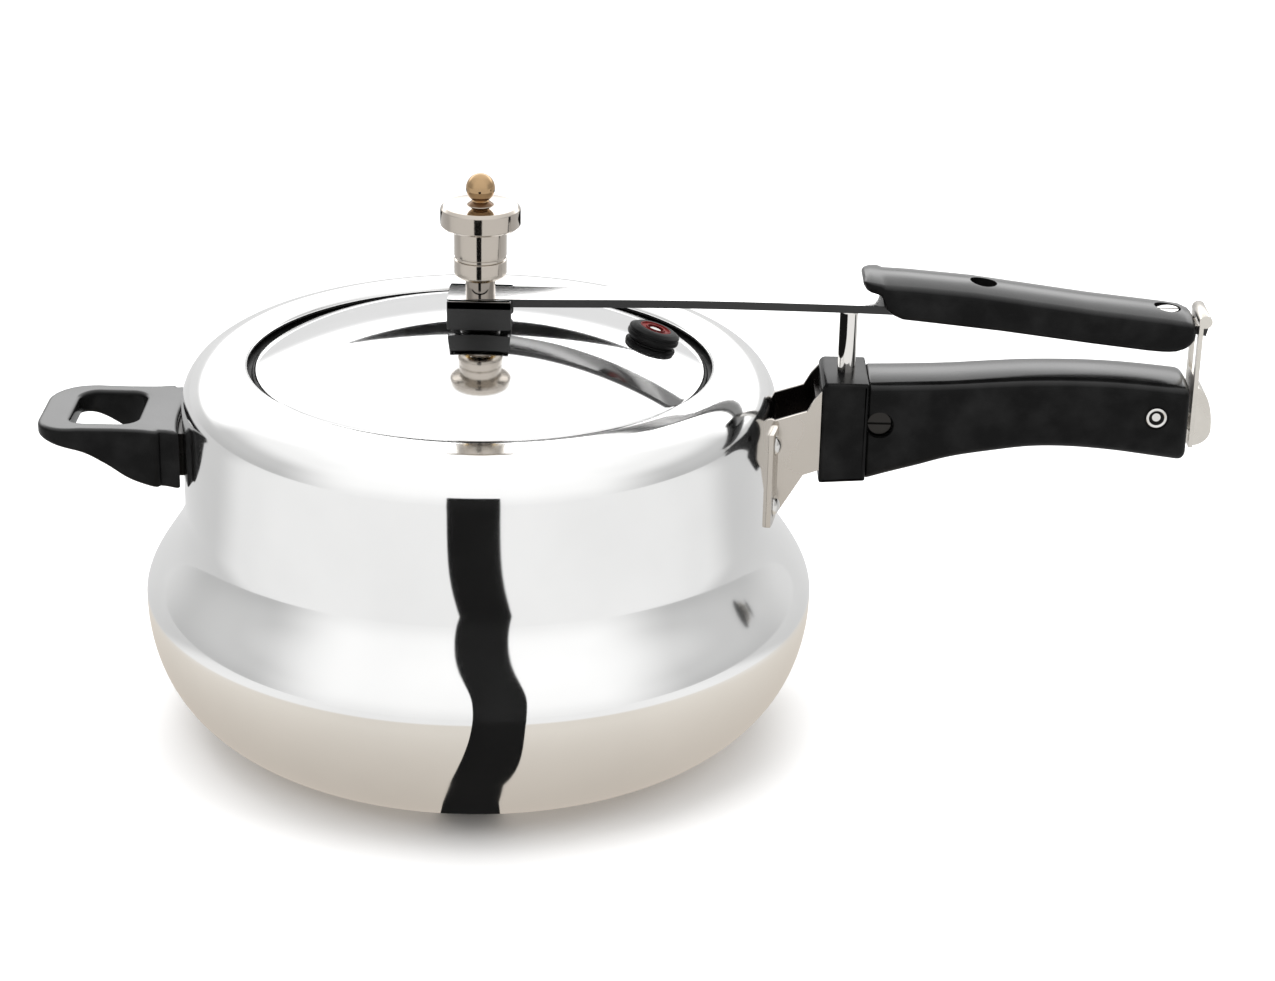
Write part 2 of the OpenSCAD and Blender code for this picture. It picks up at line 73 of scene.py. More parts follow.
def rounded(points, radius, closed=True, steps=5):
    """The outline with its corners rounded; radius is one number, or one for each corner."""
    out = []
    count = len(points)
    for i, point in enumerate(points):
        r = radius[i] if isinstance(radius, (list, tuple)) else radius
        a = Vector(points[i - 1]) - Vector(point)
        b = Vector(points[(i + 1) % count]) - Vector(point)
        at_end = not closed and i in (0, count - 1)
        if r <= 0 or at_end or a.angle(b) > 3.12:
            out.append(tuple(point))
        else:
            out.extend(arc_between(Vector(point), a, b, r, steps))
    return out


def spline(points, per_span=6):
    """A smooth line through the points (Catmull-Rom)."""
    pts = [Vector(p) for p in points]
    pts = [2 * pts[0] - pts[1]] + pts + [2 * pts[-1] - pts[-2]]
    out = []
    for i in range(1, len(pts) - 2):
        p0, p1, p2, p3 = pts[i - 1:i + 3]
        for k in range(per_span):
            t = k / per_span
            out.append(tuple(0.5 * (2 * p1 + (p2 - p0) * t + (2 * p0 - 5 * p1 + 4 * p2 - p3) * t ** 2
                                    + (3 * p1 - p0 - 3 * p2 + p3) * t ** 3)))
    out.append(tuple(pts[-2]))
    return out


def inset(outline, distance):
    """The closed outline moved towards its inside."""
    count = len(outline)
    area = sum(outline[i - 1][0] * outline[i][1] - outline[i][0] * outline[i - 1][1] for i in range(count))
    turn = 1 if area > 0 else -1
    out = []
    for i in range(count):
        p = Vector(outline[i])
        before = (p - Vector(outline[i - 1])).normalized()
        after = (Vector(outline[(i + 1) % count]) - p).normalized()
        n1 = Vector((-before.y, before.x)) * turn
        n2 = Vector((-after.y, after.x)) * turn
        mitre = (n1 + n2) / max(0.5, 1 + n1.dot(n2))
        out.append(tuple(p + mitre * distance))
    return out


# ---------------------------------------------------------------- meshes
def new_piece(name, verts, faces, sharp=40):
    """A mesh object with smooth faces, whose edges sharper than the angle stay crisp."""
    mesh = bpy.data.meshes.new(name)
    mesh.from_pydata([Vector(v) * MM for v in verts], [], faces)
    piece = bpy.data.objects.new(name, mesh)
    bpy.context.scene.collection.objects.link(piece)
    tidy_mesh(piece, sharp)
    return piece


def tidy_mesh(piece, sharp=40):
    bm = bmesh.new()
    bm.from_mesh(piece.data)
    bmesh.ops.remove_doubles(bm, verts=bm.verts, dist=0.002 * MM)
    bmesh.ops.recalc_face_normals(bm, faces=bm.faces)
    for face in bm.faces:
        face.smooth = True
    for edge in bm.edges:
        edge.smooth = len(edge.link_faces) == 2 and edge.calc_face_angle(0) < math.radians(sharp)
    bm.to_mesh(piece.data)
    bm.free()
    piece.data.update()


def weighted(piece):
    """Flat faces keep their own normals beside small rounded edges."""
    modifier = piece.modifiers.new("weighted", "WEIGHTED_NORMAL")
    modifier.keep_sharp = True


def ring_faces(rings, count, wrap=False):
    """Faces between rings of count points each; wrap also joins the last ring to the first."""
    faces = []
    for i in range(rings if wrap else rings - 1):
        n = (i + 1) % rings
        for k in range(count):
            m = (k + 1) % count
            faces.append([i * count + k, i * count + m, n * count + m, n * count + k])
    return faces


def lathe(name, outline, steps=96, closed=False, place=None, oval=1.0):
    """Turns an outline of (radius, height) round the Z axis, then moves it with place, in millimetres."""
    verts = []
    rings = []
    for r, z in outline:
        if r < 1e-6:
            rings.append([len(verts)] * steps)
            verts.append(Vector((0, 0, z)))
            continue
        rings.append([len(verts) + k for k in range(steps)])
        for k in range(steps):
            a = 2 * math.pi * k / steps
            verts.append(Vector((r * math.cos(a), r * oval * math.sin(a), z)))
    faces = []
    pairs = list(zip(rings, rings[1:]))
    if closed:
        pairs.append((rings[-1], rings[0]))
    for one, two in pairs:
        for k in range(steps):
            m = (k + 1) % steps
            corner = []
            for v in (one[k], one[m], two[m], two[k]):
                if v not in corner:
                    corner.append(v)
            if len(corner) > 2:
                faces.append(corner)
    if place is not None:
        verts = [place @ v for v in verts]
    return new_piece(name, verts, faces)


def slab(name, outline, y0, y1, edge=(3.0, 3.0), steps=6, sharp=40):
    """An outline in X and Z made solid from y0 to y1, its long edges rounded by edge = (inset, depth)."""
    levels = []
    for k in range(steps + 1):
        a = math.pi / 2 * k / steps
        levels.append((edge[0] * (1 - math.sin(a)), edge[1] * (1 - math.cos(a))))
    rings = [(inset(outline, d), y0 + e) for d, e in levels]
    rings += [(inset(outline, d), y1 - e) for d, e in reversed(levels)]
    verts = [(x, y, z) for ring, y in rings for x, z in ring]
    count = len(outline)
    caps = [list(range(count)), list(range(len(verts) - count, len(verts)))]
    return new_piece(name, verts, caps + ring_faces(len(rings), count), sharp)


def follow(points):
    """A line through the points as a function of x."""
    def value(x):
        for (x0, z0), (x1, z1) in zip(points, points[1:]):
            if x <= x1:
                return z0 + (z1 - z0) * max(0.0, (x - x0) / (x1 - x0))
        return points[-1][1]
    return value


def section(low_z, high_z, half, low_r, high_r, crown):
    """A bar's cross section in Y and Z: rounded corners and a slightly domed top."""
    low_r, high_r = max(0.3, low_r), max(0.3, high_r)
    lean = math.atan(2 * crown / max(1.0, half - high_r))
    right = []
    for k in range(7):
        a = -math.pi / 2 + math.pi / 2 * k / 6
        right.append((half - low_r + low_r * math.cos(a), low_z + low_r + low_r * math.sin(a)))
    for k in range(9):
        a = (math.pi / 2 - lean) * k / 8
        right.append((half - high_r + high_r * math.cos(a),
                      high_z - crown - high_r + high_r * math.sin(a)))
    y, z = right[-1]
    top = [(y * (1 - k / 4), z + (high_z - z) * (1 - (1 - k / 4) ** 2)) for k in range(1, 8)]
    return right + top + [(-a, b) for a, b in reversed(right)]


def loft(name, stations, sharp=40):
    """Cross sections, each (x, outline in Y and Z), joined along X and closed at both ends."""
    verts = [(x, y, z) for x, ring in stations for y, z in ring]
    count = len(stations[0][1])
    faces = ring_faces(len(stations), count)
    for start in (0, len(verts) - count):
        ring = verts[start:start + count]
        verts.append(tuple(sum(v[axis] for v in ring) / count for axis in range(3)))
        for k in range(count):
            faces.append([start + k, start + (k + 1) % count, len(verts) - 1])
    return new_piece(name, verts, faces, sharp)


def block(name, low_corner, high_corner):
    """A plain box, used to cut room for other pieces."""
    x0, y0, z0 = low_corner
    x1, y1, z1 = high_corner
    return slab(name, [(x0, z0), (x1, z0), (x1, z1), (x0, z1)], y0, y1, (0, 0), 1)


def rod(name, a, b, radius, steps=32):
    """A plain round rod from a to b, used to cut holes."""
    a = Vector(a)
    b = Vector(b)
    turn = (b - a).to_track_quat("Z", "Y").to_matrix().to_4x4()
    place = Matrix.Translation(a) @ turn
    length = (b - a).length
    return lathe(name, [(0, 0), (radius, 0), (radius, length), (0, length)], steps, place=place)


def bake_modifiers(piece):
    graph = bpy.context.evaluated_depsgraph_get()
    mesh = bpy.data.meshes.new_from_object(piece.evaluated_get(graph))
    piece.modifiers.clear()
    piece.data = mesh


def cut(piece, *tools):
    """Takes the tools' volume away from the piece and removes the tools."""
    for tool in tools:
        modifier = piece.modifiers.new("cut", "BOOLEAN")
        modifier.operation = "DIFFERENCE"
        modifier.solver = "EXACT"
        modifier.object = tool
    bpy.context.view_layer.update()
    bake_modifiers(piece)
    for tool in tools:
        bpy.data.objects.remove(tool)
    tidy_mesh(piece, 35)


def joined(name, *parts):
    """Several meshes as one piece."""
    bm = bmesh.new()
    for part in parts:
        bm.from_mesh(part.data)
        bpy.data.objects.remove(part)
    mesh = bpy.data.meshes.new(name)
    bm.to_mesh(mesh)
    bm.free()
    piece = bpy.data.objects.new(name, mesh)
    bpy.context.scene.collection.objects.link(piece)
    return piece


def soften(piece, width, segments=3, angle=35):
    modifier = piece.modifiers.new("soft_edges", "BEVEL")
    modifier.width = width * MM
    modifier.segments = segments
    modifier.limit_method = "ANGLE"
    modifier.angle_limit = math.radians(angle)
    modifier.harden_normals = True


# ---------------------------------------------------------------- materials
class Paint:
    """A node material built from a few shared node chains."""

    def __init__(self, name, colour, metallic=0.0, roughness=0.5, **sockets):
        self.material = bpy.data.materials.new(name)
        self.material.use_nodes = True
        self.nodes = self.material.node_tree.nodes
        self.links = self.material.node_tree.links
        self.shader = self.nodes["Principled BSDF"]
        self.shader.inputs["Base Color"].default_value = (*colour, 1.0)
        self.shader.inputs["Metallic"].default_value = metallic
        self.shader.inputs["Roughness"].default_value = roughness
        for socket, value in sockets.items():
            self.shader.inputs[socket.replace("_", " ")].default_value = value
        self.place = self.nodes.new("ShaderNodeTexCoord").outputs["Object"]

    def math(self, operation, a, b=0.0):
        node = self.nodes.new("ShaderNodeMath")
        node.operation = operation
        for socket, value in zip(node.inputs, (a, b)):
            if isinstance(value, (int, float)):
                socket.default_value = value
            else:
                self.links.new(value, socket)
        return node.outputs[0]

    def noise(self, scale, detail=3.0, place=None, rough=0.5):
        node = self.nodes.new("ShaderNodeTexNoise")
        node.inputs["Scale"].default_value = scale
        node.inputs["Detail"].default_value = detail
        node.inputs["Roughness"].default_value = rough
        self.links.new(place or self.place, node.inputs["Vector"])
        return node.outputs["Fac"]

    def spread(self, value, start, end, low_value, high_value):
        node = self.nodes.new("ShaderNodeMapRange")
        node.inputs["From Min"].default_value = start
        node.inputs["From Max"].default_value = end
        node.inputs["To Min"].default_value = low_value
        node.inputs["To Max"].default_value = high_value
        self.links.new(value, node.inputs["Value"])
        return node.outputs["Result"]

    def turned(self, across, along, middle=(0, 0, 0)):
        """Coordinates that change only with the distance from an upright axis and with height."""
        shift = self.nodes.new("ShaderNodeVectorMath")
        shift.operation = "SUBTRACT"
        self.links.new(self.place, shift.inputs[0])
        shift.inputs[1].default_value = middle
        parts = self.nodes.new("ShaderNodeSeparateXYZ")
        self.links.new(shift.outputs[0], parts.inputs[0])
        flat = self.math("ADD", self.math("MULTIPLY", parts.outputs[0], parts.outputs[0]),
                         self.math("MULTIPLY", parts.outputs[1], parts.outputs[1]))
        both = self.nodes.new("ShaderNodeCombineXYZ")
        self.links.new(self.math("MULTIPLY", self.math("SQRT", flat), across), both.inputs[0])
        self.links.new(self.math("MULTIPLY", parts.outputs[2], along), both.inputs[1])
        return both.outputs[0]

    def stretched(self, scale):
        node = self.nodes.new("ShaderNodeMapping")
        node.inputs["Scale"].default_value = scale
        self.links.new(self.place, node.inputs["Vector"])
        return node.outputs[0]

    def roughness(self, value):
        self.links.new(value, self.shader.inputs["Roughness"])

    def colours(self, factor, *stops):
        ramp = self.nodes.new("ShaderNodeValToRGB")
        while len(ramp.color_ramp.elements) < len(stops):
            ramp.color_ramp.elements.new(0.5)
        for element, (position, colour) in zip(ramp.color_ramp.elements, stops):
            element.position = position
            element.color = (*colour, 1.0)
        self.links.new(factor, ramp.inputs["Fac"])
        self.links.new(ramp.outputs["Color"], self.shader.inputs["Base Color"])

    def bump(self, height, distance, strength=1.0):
        node = self.nodes.new("ShaderNodeBump")
        node.inputs["Distance"].default_value = distance
        node.inputs["Strength"].default_value = strength
        self.links.new(height, node.inputs["Height"])
        before = self.shader.inputs["Normal"]
        if before.is_linked:
            self.links.new(before.links[0].from_socket, node.inputs["Normal"])
        self.links.new(node.outputs["Normal"], before)


def spun_metal(name, colour, low_rough, high_rough, rings=1500.0, depth=2e-6, middle=(0, 0, 0)):
    """Metal polished on a lathe: fine rings, cloudy gloss and a few faint rub marks."""
    paint = Paint(name, colour, 1.0)
    cloud = paint.noise(28.0, 4.0)
    paint.roughness(paint.spread(cloud, 0.3, 0.7, low_rough, high_rough))
    tint = tuple(c * 0.93 for c in colour)
    paint.colours(paint.noise(14.0, 5.0), (0.35, tint), (0.65, colour))
    paint.bump(paint.noise(1.0, 2.0, paint.turned(rings, rings, middle)), depth)
    return paint.material


def plated_metal(name, colour, low_rough, high_rough, grain=(300, 300, 300), depth=3e-6):
    """Plated or polished steel with a slight orange peel and drawn grain."""
    paint = Paint(name, colour, 1.0)
    paint.roughness(paint.spread(paint.noise(60.0, 4.0), 0.3, 0.7, low_rough, high_rough))
    tint = tuple(c * 0.85 for c in colour)
    paint.colours(paint.noise(45.0, 5.0), (0.35, tint), (0.6, colour))
    paint.bump(paint.noise(1.0, 3.0, paint.stretched(grain)), depth)
    return paint.material


def moulded(name, colour, low_rough, high_rough, depth=8e-6, top_sheen=0.62):
    """Black moulded phenolic: gloss that varies, flow marks, pores, and a painted sheen: upper faces reflect
    more than the sides.
    """
    paint = Paint(name, colour, 0.0, IOR=1.5)
    parts = paint.nodes.new("ShaderNodeSeparateXYZ")
    source = paint.nodes.new("ShaderNodeNewGeometry")
    paint.links.new(source.outputs["Normal"], parts.inputs[0])
    # Painted sheen: faces that look up get a stronger reflection than the sides.
    painted_top_sheen = paint.spread(parts.outputs[2], 0.45, 0.95, 0.07, top_sheen)
    paint.links.new(painted_top_sheen, paint.shader.inputs["Specular IOR Level"])
    cloud = paint.noise(38.0, 5.0, paint.stretched((0.6, 1.0, 1.0)))
    paint.roughness(paint.spread(cloud, 0.3, 0.7, low_rough, high_rough))
    light = tuple(min(1.0, c * 1.9 + 0.004) for c in colour)
    paint.colours(paint.noise(90.0, 6.0), (0.4, colour), (0.75, light))
    paint.bump(paint.noise(700.0, 2.0), depth)
    paint.bump(paint.noise(60.0, 2.0), depth * 6)
    return paint.material


def edge_coated(name, metal, coating):
    """Flat steel: faces that look up or down are polished, the cut sides carry a black coating, and faces
    that look down are painted darker as painted shade.
    """
    paint = Paint(name, metal, 1.0)
    parts = paint.nodes.new("ShaderNodeSeparateXYZ")
    source = paint.nodes.new("ShaderNodeNewGeometry")
    paint.links.new(source.outputs["True Normal"], parts.inputs[0])
    wear = paint.math("MULTIPLY", paint.math("SUBTRACT", paint.noise(160.0, 4.0), 0.5), 0.15)
    upright = paint.math("ADD", paint.math("ABSOLUTE", parts.outputs[2]), wear)
    shine = paint.spread(upright, 0.78, 0.90, 0.0, 1.0)
    # Painted shade: faces that look down get a darker colour, as if in shadow.
    under = paint.spread(parts.outputs[2], -0.9, -0.7, 0.0, 1.0)
    paint.links.new(shine, paint.shader.inputs["Metallic"])
    grain = paint.spread(paint.noise(1.0, 3.0, paint.stretched((90, 1800, 1800))), 0.3, 0.7, 0.0, 0.08)
    paint.roughness(paint.math("ADD", paint.spread(shine, 0.0, 1.0, 0.32, 0.10), grain))
    coating_and_underside_shade = paint.math("MULTIPLY", shine, paint.spread(under, 0.0, 1.0, 0.35, 1.0))
    paint.colours(coating_and_underside_shade, (0.0, coating), (1.0, metal))
    paint.bump(paint.noise(500.0, 3.0), 4e-6)
    return paint.material


def rubber(name, colour):
    paint = Paint(name, colour, 0.0, IOR=1.2)
    paint.roughness(paint.spread(paint.noise(120.0, 3.0), 0.3, 0.7, 0.32, 0.5))
    light = tuple(min(1.0, c * 1.35 + 0.006) for c in colour)
    paint.colours(paint.noise(150.0, 5.0), (0.4, colour), (0.7, light))
    paint.bump(paint.noise(900.0, 3.0), 1.5e-5)
    return paint.material


def bracket_metal(name, colour, inner):
    """Drawn steel, with painted shade: near black between the two cheeks of the bracket."""
    paint = Paint(name, colour, 1.0)
    parts = paint.nodes.new("ShaderNodeSeparateXYZ")
    paint.links.new(paint.place, parts.inputs[0])
    middle = paint.math("ABSOLUTE", parts.outputs[1])
    shade_edge_noise = paint.math("MULTIPLY", paint.math("SUBTRACT", paint.noise(180.0, 4.0), 0.5), 0.0006)
    # Painted shade: everything within about 13.4 mm of the middle plane, between the cheeks, is coloured near
    # black.
    inside = paint.spread(paint.math("ADD", middle, shade_edge_noise), 0.0134, 0.0138, 1.0, 0.0)
    paint.colours(inside, (0.0, colour), (1.0, inner))
    paint.roughness(paint.spread(paint.noise(60.0, 4.0), 0.3, 0.7, 0.2, 0.36))
    paint.bump(paint.noise(1.0, 3.0, paint.stretched((2500, 600, 120))), 6e-6)
    return paint.material


FINISH = {
    "polished_aluminium": spun_metal("polished_aluminium", (0.86, 0.86, 0.855), 0.07, 0.12),
    "lid_aluminium": spun_metal("lid_aluminium", (0.86, 0.86, 0.86), 0.05, 0.09, 1200.0),
    # The bracket's second colour is painted shade between its cheeks.
    "bracket_steel": bracket_metal("bracket_steel", (0.52, 0.485, 0.44), (0.035, 0.03, 0.028)),
    "dark_steel": plated_metal("dark_steel", (0.035, 0.033, 0.031), 0.2, 0.35),
    "plated_steel": plated_metal("plated_steel", (0.74, 0.73, 0.71), 0.12, 0.24),
    "bar_steel": edge_coated("bar_steel", (0.90, 0.895, 0.89), (0.008, 0.008, 0.008)),
    "post_chrome": spun_metal("post_chrome", (0.82, 0.80, 0.77), 0.05, 0.10, 900.0, 1.5e-6, (0.1295, 0, 0)),
    # The weight's and the vent stem's chrome are darker copies of the post's chrome: painted shade.
    "weight_chrome": spun_metal("weight_chrome", (0.52, 0.475, 0.42), 0.06, 0.12, 900.0, 1.5e-6),
    "stem_chrome": spun_metal("stem_chrome", (0.30, 0.27, 0.24), 0.06, 0.12, 900.0, 1.5e-6),
    "brass": spun_metal("brass", (0.78, 0.55, 0.24), 0.07, 0.16, 900.0),
    "golden": spun_metal("golden", (0.46, 0.31, 0.17), 0.05, 0.11, 900.0),
    "dark_brass": spun_metal("dark_brass", (0.16, 0.10, 0.06), 0.15, 0.30, 900.0),
    "black_phenolic": moulded("black_phenolic", (0.004, 0.004, 0.004), 0.14, 0.24),
    "block_phenolic": moulded("block_phenolic", (0.004, 0.004, 0.004), 0.2, 0.3, 8e-6, 0.14),
    "black_rubber": rubber("black_rubber", (0.006, 0.006, 0.006)),
    "red_rubber": rubber("red_rubber", (0.13, 0.008, 0.007)),
    "fusible_alloy": plated_metal("fusible_alloy", (0.62, 0.62, 0.60), 0.3, 0.45),
    "loop_steel": plated_metal("loop_steel", (0.66, 0.63, 0.58), 0.20, 0.36, (1500, 200, 1500), 6e-6),
}


def finish_with(piece, finish, body, *nodes):
    """Gives the piece its finish, its body and the CAD nodes that it stands for."""
    piece.data.materials.clear()
    piece.data.materials.append(FINISH[finish])
    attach(piece, body)
    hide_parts(*nodes)


def second_finish_above(piece, finish, height):
    """The faces above a height, in millimetres, get a second finish."""
    piece.data.materials.append(FINISH[finish])
    for face in piece.data.polygons:
        if face.center.z > height * MM:
            face.material_index = 1


# ---------------------------------------------------------------- pot and lid
POT_TOP = high("pot_body", 2)
BELLY = high("pot_body", 0)
BASE, NECK, WALL = 72.5, 105.3, 3.2
BELLY_Z, NECK_Z, CROWN_Z, CROWN = 51.0, 84.0, 121.0, 90.0
MOUTH, OVAL = 82.0, 0.95
LIP = POT_TOP - 1.2
AROUND = 256


def pot_side(w, drop):
    """Outline of the pot's side, from the base to the rim, moved inward by w and down by drop at the rim."""
    line = []
    for k in range(45):
        a = math.pi / 2 * k / 44
        line.append((BASE + (BELLY - w - BASE) * math.sin(a) ** (2 / 2.2),
                     w + (BELLY_Z - w) * (1 - math.cos(a) ** (2 / 2.2))))
    for k in range(1, 40):
        t = k / 40
        line.append((NECK - w + (BELLY - NECK) * (1 + math.cos(math.pi * t ** 0.9)) / 2,
                     BELLY_Z + t * (NECK_Z - BELLY_Z)))
    for k in range(9):
        line.append((NECK - w, NECK_Z + (CROWN_Z - NECK_Z) * k / 8))
    for k in range(1, 25):
        a = math.pi / 2 * k / 24
        line.append((CROWN + (NECK - w - CROWN) * math.cos(a),
                     CROWN_Z + (POT_TOP - drop - CROWN_Z) * math.sin(a)))
    return line


def pot_outline():
    """Closed outline (radius, height) and, for each point, how far it follows the oval of the mouth."""
    line = [(p, 0.0) for p in [(0, 0.9), (40, 0.8), (60, 0.5), (66, 0.1)] + pot_side(0, 0)]
    lip = [(88.5, POT_TOP, 0.2), (87, POT_TOP, 0.5), (85.6, POT_TOP, 0.8), (84.4, POT_TOP - 0.03, 1.0),
           (83.9, POT_TOP - 0.08, 1.0)]
    for k in range(7):
        a = math.pi / 2 - math.pi * k / 6
        lip.append((MOUTH + 1.5 - 1.5 * math.cos(a), POT_TOP - 1.6 + 1.5 * math.sin(a), 1.0))
    lip += [(85.5, LIP - 3, 0.8), (88, LIP - 3, 0.4)]
    line += [((r, z), share) for r, z, share in lip]
    inner = pot_side(WALL, POT_TOP - LIP + 3)
    line += [(p, 0.0) for p in reversed(inner)]
    line.append(((0, WALL), 0.0))
    return line


def make_pot():
    verts = []
    outline = pot_outline()
    for (r, z), share in outline:
        y_scale = 1 - (1 - OVAL) * share
        for k in range(AROUND):
            a = 2 * math.pi * k / AROUND
            verts.append((r * math.cos(a), r * y_scale * math.sin(a), z))
    pot = new_piece("pot_shell", verts, ring_faces(len(outline), AROUND), 60)
    finish_with(pot, "polished_aluminium", "pot", "pot_body")


LID_TOP = high("lid", 2)
DOME = 206.0
LID_EDGE = MOUTH - 2.4
BORDER = LIP - 3 - 4


def dome(x, y):
    """Height of the top of the lid at x, y."""
    return LID_TOP - DOME + math.sqrt(DOME * DOME - x * x - y * y)


def lid_rings():
    """Rings of the lid from the middle, as (radius, height, whether the height is counted from the dome)."""
    rings = [(1.5 * k, 0.0, True) for k in range(1, 53)]
    roll = LID_EDGE - 0.8
    for k in range(0, 8):
        a = math.pi / 2 * (1 - k / 7)
        rings.append((roll + 0.8 * math.cos(a), 0.8 * math.sin(a) - 0.8, True))
    rings += [(LID_EDGE, BORDER + 1, False), (LID_EDGE + 0.5, BORDER + 0.1, False),
              (LID_EDGE + 1.2, BORDER, False), (MOUTH + 6, BORDER, False), (MOUTH + 6.5, BORDER - 0.5, False),
              (MOUTH + 6.5, BORDER - 2.5, False), (MOUTH + 6, BORDER - 3, False),
              (LID_EDGE - 1, BORDER - 3, False), (LID_EDGE - 3, BORDER - 2, False),
              (LID_EDGE - 3, BORDER + 1, False)]
    rings += [(r, -3.0, True) for r in (LID_EDGE - 4, 60, 45, 30, 15)]
    return rings


def make_lid():
    verts = []
    rings = lid_rings()
    for r, z, on_dome in rings:
        for k in range(AROUND):
            a = 2 * math.pi * k / AROUND
            x, y = r * math.cos(a), OVAL * r * math.sin(a)
            verts.append((x, y, z + dome(x, y) if on_dome else z))
    faces = ring_faces(len(rings), AROUND)
    last, top = len(verts) - AROUND, len(verts)
    verts += [(0, 0, LID_TOP), (0, 0, LID_TOP - 3)]
    for k in range(AROUND):
        m = (k + 1) % AROUND
        faces.append([top, k, m])
        faces.append([top + 1, last + m, last + k])
    lid = new_piece("lid_plate", verts, faces, 60)
    finish_with(lid, "lid_aluminium", "lid", "lid")


def make_gasket():
    r0, r1 = LID_EDGE, MOUTH + 6.5
    z0, z1 = low("gasket", 2), high("gasket", 2)
    outline = rounded([(r0, z0), (r1, z0), (r1, z1), (r0, z1)], [0.6, 1.2, 1.6, 0.6])
    ring = lathe("a", outline, 192, True, oval=OVAL)
    lip = lathe("b", rounded([(r0, z1 - 0.5), (r0 + 1.1, z1 - 0.5), (r0 + 0.9, z1 + 3), (r0, z1 + 3)], 0.3),
                192, True, oval=OVAL)
    for v in lip.data.vertices:
        if v.co.z > (z1 + 1) * MM:
            x, y = v.co.x / MM, v.co.y / MM
            v.co.z = v.co.z - (z1 + 3) * MM + (dome(x, y) - 0.45) * MM
    gasket = joined("gasket_ring", ring, lip)
    tidy_mesh(gasket, 40)
    finish_with(gasket, "black_rubber", "lid", "gasket")


make_pot()
make_lid()
make_gasket()


# ---------------------------------------------------------------- vent, shackle and weight
TUBE_R = 4.65


def make_vent():
    tube = [(0, 134), (TUBE_R, 134), (TUBE_R, 156), (5.3, 156.3), (5.3, 165.2), (4.7, 165.9), (3.2, 166),
            (3.2, 177.4), (2.6, 178), (1.3, 178), (1.3, 160), (0, 160)]
    finish_with(lathe("vent_stem", rounded(tube, 0.3, False, 3), 64), "stem_chrome",
                "lid", "vent_tube")
    z = low("vent_washer", 2)
    washer = [(TUBE_R, z), (7.0, z), (7.0, z + 1.9), (TUBE_R, z + 1.9)]
    finish_with(lathe("washer_ring", rounded(washer, 0.35, True, 3), 64, True), "black_rubber",
                "lid", "vent_washer")
    z0, z1 = low("shackle_collar", 2), high("shackle_collar", 2)
    collar = rounded([(TUBE_R, z0), (7.2, z0), (7.2, z1), (TUBE_R, z1)], 0.5)
    finish_with(lathe("collar_ring", collar, 64, True), "dark_steel", "lid", "shackle_collar")


def make_weight():
    z, cap, top = low("weight_jacket", 2), low("weight_cap", 2), high("weight_cap", 2) - 1.6
    r, wide = high("weight_jacket", 0), high("weight_cap", 0)
    jacket = [(6.4, z), (r - 1.1, z), (r, z + 1.2), (r, z + 6.3), (r - 0.7, z + 6.6), (r - 0.7, z + 7.5),
              (r, z + 7.8), (r, cap), (6.4, cap)]
    soft = [0.2, 0.4, 0.5, 0.25, 0.2, 0.2, 0.25, 0.1, 0.1]
    finish_with(lathe("weight_sleeve", rounded(jacket, soft, True, 4), 96, True), "weight_chrome",
                "weight", "weight_jacket")
    head = [(0, cap), (r, cap), (r + 0.4, cap + 0.1), (wide - 0.9, cap + 0.3), (wide, cap + 1.2),
            (wide, top - 1.0), (wide - 1.0, top), (5.4, top + 0.15), (0, top + 0.15)]
    soft = [0, 0.1, 0.2, 0.5, 0.5, 0.5, 0.6, 0.3, 0]
    disc = lathe("a", rounded(head, soft, False, 4), 96)
    foot = lathe("b", rounded([(0, top), (5.0, top), (4.2, top + 0.6), (3.0, top + 1.6), (0, top + 1.6)],
                              [0, 0.2, 0.5, 0.3, 0], False, 4), 64)
    head = joined("weight_head", disc, foot)
    tidy_mesh(head, 40)
    finish_with(head, "weight_chrome", "weight", "weight_cap")
    # The top of the head, under the ball, gets dark brass: darker than the rest of the head.
    second_finish_above(head, "dark_brass", top + 0.35)
    middle, ball = high("weight_knob", 2) - 5.1, 5.1
    line = [(3.0, top + 1.6), (2.7, top + 2.0)]
    for k in range(22):
        a = math.radians(-58 + 148 * k / 21)
        line.append((ball * math.cos(a), middle + ball * math.sin(a)))
    line[-1] = (0, middle + ball)
    finish_with(lathe("weight_ball", [(0, top + 1.6)] + line, 64), "golden", "weight", "weight_knob")


def make_valve():
    """The safety valve sits square on the dome."""
    turn, reach = math.radians(10.8), 61.5
    lean = (Matrix.Rotation(turn, 4, "Z") @ Matrix.Translation((0, 0, LID_TOP - DOME))
            @ Matrix.Rotation(math.asin(reach / DOME), 4, "Y") @ Matrix.Translation((0, 0, DOME)))
    cap = [(0, -0.1), (8.3, -0.1), (8.5, 0.6), (9.2, 0.9), (9.4, 1.4), (9.4, 2.3), (9.0, 2.6), (9.0, 3.0),
           (9.3, 3.3), (9.1, 3.9), (7.6, 4.7), (6.6, 5.0), (5.6, 5.0), (5.6, 3.8), (3, 3.8), (0, 3.8)]
    body = lathe("valve_button", rounded(cap, 0.25, False, 3), 96, place=lean)
    tidy_mesh(body, 50)
    finish_with(body, "black_rubber", "lid", "valve_cap")
    ring = rounded([(2.9, 3.8), (5.6, 3.8), (5.6, 5.0), (5.2, 5.1), (5.0, 4.5), (3.6, 4.5), (3.4, 5.1),
                    (2.9, 5.0)], 0.15)
    finish_with(lathe("valve_insert", ring, 64, True, lean), "red_rubber", "lid", "valve_ring")


make_vent()
make_weight()
make_valve()


